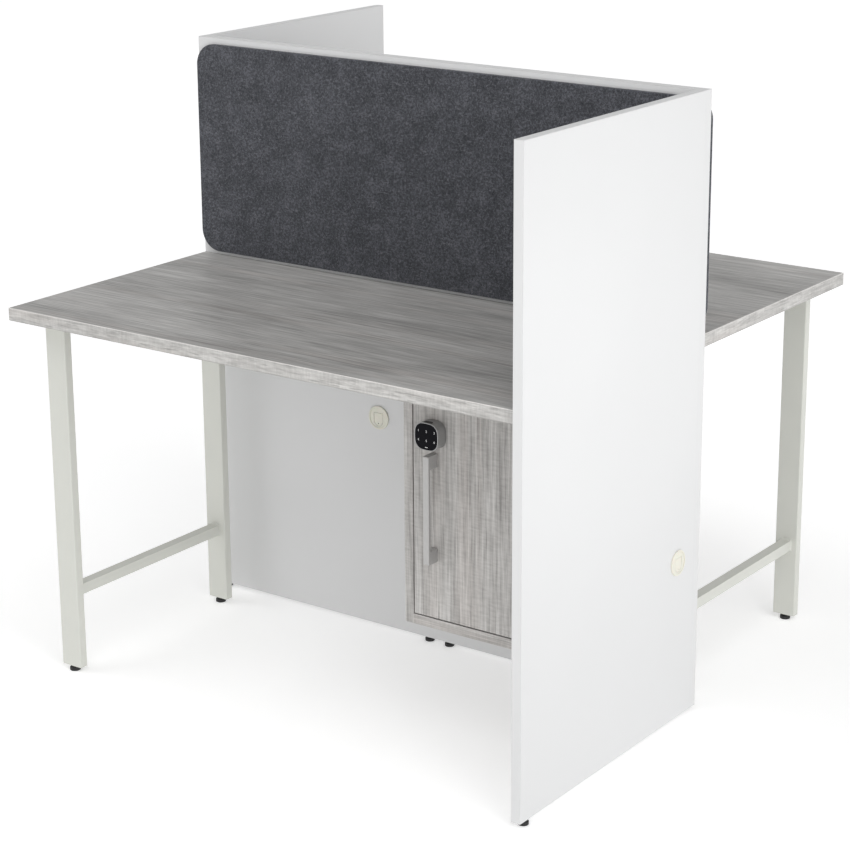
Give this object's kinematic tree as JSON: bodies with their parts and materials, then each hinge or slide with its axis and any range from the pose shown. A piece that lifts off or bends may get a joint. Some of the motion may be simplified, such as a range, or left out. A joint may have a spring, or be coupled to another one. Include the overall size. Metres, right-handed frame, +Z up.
{
  "type": "study carrel",
  "caption": "Two-person study carrel with a Z-shaped screen, a desk on each side, felt tackboards and lockers with keypad locks under the desks.",
  "frame": {"origin": "on the floor, under the middle of the spine", "axes": "+Z up; X along the spine; the front station faces -Y and the rear station +Y, turned half a turn about Z"},
  "size_m": [1.206, 1.2, 1.214],
  "materials": {
    "white_laminate": "white melamine laminate on board, satin",
    "white_edge_band": "white edge band, satin",
    "desk_laminate": "grey wood-grain laminate, grain along the desk",
    "desk_edge_band": "lighter grey wood-grain edge band",
    "door_laminate": "grey wood-grain laminate, grain upright",
    "locker_laminate": "grey wood-grain laminate",
    "back_board": "thin grey-faced hardboard",
    "felt": "pressed polyester felt, charcoal heather",
    "painted_steel": "warm off-white powder coat",
    "cream_plastic": "moulded cream plastic",
    "black_nylon": "black moulded nylon glide",
    "zinc_insert": "zinc-plated threaded insert",
    "beech": "turned beech dowel",
    "keypad_gloss": "black gloss touch panel",
    "knob_metal": "satin die-cast metal with a bright rim",
    "satin_nickel": "satin nickel",
    "lock_brass": "nickel-plated barrel and nut",
    "plated_steel": "zinc-plated steel",
    "hinge_steel": "nickel-plated steel",
    "screw_steel": "zinc-plated steel"
  },
  "bodies": {
    "carrel": {"desk_brackets": "screw_steel", "desktop_edging": "desk_edge_band", "end_panel_grommets": "cream_plastic", "front_desktop": "desk_laminate", "front_end_panel": "white_laminate", "front_leg_frame": "painted_steel", "front_locker_bottom": "locker_laminate", "front_locker_inner_side": "locker_laminate", "front_locker_outer_side": "locker_laminate", "front_tackboard": "felt", "hinge_frame_leaves": "hinge_steel", "hinge_pins": "hinge_steel", "leveller_inserts": "zinc_insert", "lock_strikes": "plated_steel", "locker_backs": "back_board", "locker_tops": "locker_laminate", "panel_dowels": "beech", "panel_edging": "white_edge_band", "rear_desktop": "desk_laminate", "rear_end_panel": "white_laminate", "rear_leg_frame": "painted_steel", "rear_locker_bottom": "locker_laminate", "rear_locker_inner_side": "locker_laminate", "rear_locker_outer_side": "locker_laminate", "rear_tackboard": "felt", "spine_board_left": "white_laminate", "spine_board_right": "white_laminate", "spine_grommets": "cream_plastic", "wood_screws": "screw_steel"},
    "front_door": {"front_locker_door": "door_laminate", "front_hinge_door_leaves": "hinge_steel", "front_handle": "satin_nickel", "front_door_screws": "screw_steel", "front_lock_barrel": "lock_brass"},
    "front_lock": {"front_lock_knob": "knob_metal", "front_lock_keypad": "keypad_gloss", "front_lock_cam": "plated_steel"},
    "front_spine_flap": {"front_spine_grommet_flap": "cream_plastic"},
    "front_end_panel_flap": {"front_end_panel_grommet_flap": "cream_plastic"},
    "rear_door": {"rear_locker_door": "door_laminate", "rear_hinge_door_leaves": "hinge_steel", "rear_handle": "satin_nickel", "rear_door_screws": "screw_steel", "rear_lock_barrel": "lock_brass"},
    "rear_lock": {"rear_lock_knob": "knob_metal", "rear_lock_keypad": "keypad_gloss", "rear_lock_cam": "plated_steel"},
    "rear_spine_flap": {"rear_spine_grommet_flap": "cream_plastic"},
    "rear_end_panel_flap": {"rear_end_panel_grommet_flap": "cream_plastic"},
    "spine_leveller_left_middle": {"spine_leveller_left_middle": "black_nylon"},
    "spine_leveller_left_end": {"spine_leveller_left_end": "black_nylon"},
    "spine_leveller_right_middle": {"spine_leveller_right_middle": "black_nylon"},
    "spine_leveller_right_end": {"spine_leveller_right_end": "black_nylon"},
    "front_end_panel_leveller": {"front_end_panel_leveller": "black_nylon"},
    "front_outer_leg_leveller": {"front_outer_leg_leveller": "black_nylon"},
    "front_inner_leg_leveller": {"front_inner_leg_leveller": "black_nylon"},
    "rear_end_panel_leveller": {"rear_end_panel_leveller": "black_nylon"},
    "rear_outer_leg_leveller": {"rear_outer_leg_leveller": "black_nylon"},
    "rear_inner_leg_leveller": {"rear_inner_leg_leveller": "black_nylon"}
  },
  "joints": [
    {"name": "front_door_hinge", "type": "hinge", "parent": "carrel", "child": "front_door", "pos_m": [0.5605, -0.4135, 0.485], "axis": [0, 0, 1], "range_deg": [0, 95]},
    {"name": "front_lock_turn", "type": "hinge", "parent": "front_door", "child": "front_lock", "pos_m": [0.2845, -0.41, 0.617], "axis": [0, 1, 0], "range_deg": [0, 90]},
    {"name": "front_spine_flap_hinge", "type": "hinge", "parent": "carrel", "child": "front_spine_flap", "pos_m": [-0.143, -0.0121, 0.477], "axis": [1, 0, 0], "range_deg": [0, 75]},
    {"name": "front_end_panel_flap_hinge", "type": "hinge", "parent": "carrel", "child": "front_end_panel_flap", "pos_m": [0.6011, -0.07, 0.339], "axis": [0, 1, 0], "range_deg": [0, 75]},
    {"name": "rear_door_hinge", "type": "hinge", "parent": "carrel", "child": "rear_door", "pos_m": [-0.5605, 0.4135, 0.485], "axis": [0, 0, 1], "range_deg": [0, 95]},
    {"name": "rear_lock_turn", "type": "hinge", "parent": "rear_door", "child": "rear_lock", "pos_m": [-0.2845, 0.41, 0.617], "axis": [0, -1, 0], "range_deg": [0, 90]},
    {"name": "rear_spine_flap_hinge", "type": "hinge", "parent": "carrel", "child": "rear_spine_flap", "pos_m": [0.143, 0.0121, 0.477], "axis": [-1, 0, 0], "range_deg": [0, 75]},
    {"name": "rear_end_panel_flap_hinge", "type": "hinge", "parent": "carrel", "child": "rear_end_panel_flap", "pos_m": [-0.6011, 0.07, 0.339], "axis": [0, -1, 0], "range_deg": [0, 75]},
    {"name": "spine_leveller_left_middle_turn", "type": "hinge", "parent": "carrel", "child": "spine_leveller_left_middle", "pos_m": [-0.025, 0, 0], "axis": [0, 0, 1], "continuous": true},
    {"name": "spine_leveller_left_end_turn", "type": "hinge", "parent": "carrel", "child": "spine_leveller_left_end", "pos_m": [-0.575, 0, 0], "axis": [0, 0, 1], "continuous": true},
    {"name": "spine_leveller_right_middle_turn", "type": "hinge", "parent": "carrel", "child": "spine_leveller_right_middle", "pos_m": [0.025, 0, 0], "axis": [0, 0, 1], "continuous": true},
    {"name": "spine_leveller_right_end_turn", "type": "hinge", "parent": "carrel", "child": "spine_leveller_right_end", "pos_m": [0.575, 0, 0], "axis": [0, 0, 1], "continuous": true},
    {"name": "front_end_panel_leveller_turn", "type": "hinge", "parent": "carrel", "child": "front_end_panel_leveller", "pos_m": [0.5905, -0.575, 0], "axis": [0, 0, 1], "continuous": true},
    {"name": "front_outer_leg_leveller_turn", "type": "hinge", "parent": "carrel", "child": "front_outer_leg_leveller", "pos_m": [-0.5265, -0.531, 0], "axis": [0, 0, 1], "continuous": true},
    {"name": "front_inner_leg_leveller_turn", "type": "hinge", "parent": "carrel", "child": "front_inner_leg_leveller", "pos_m": [-0.5265, -0.082, 0], "axis": [0, 0, 1], "continuous": true},
    {"name": "rear_end_panel_leveller_turn", "type": "hinge", "parent": "carrel", "child": "rear_end_panel_leveller", "pos_m": [-0.5905, 0.575, 0], "axis": [0, 0, 1], "continuous": true},
    {"name": "rear_outer_leg_leveller_turn", "type": "hinge", "parent": "carrel", "child": "rear_outer_leg_leveller", "pos_m": [0.5265, 0.531, 0], "axis": [0, 0, 1], "continuous": true},
    {"name": "rear_inner_leg_leveller_turn", "type": "hinge", "parent": "carrel", "child": "rear_inner_leg_leveller", "pos_m": [0.5265, 0.082, 0], "axis": [0, 0, 1], "continuous": true}
  ]
}
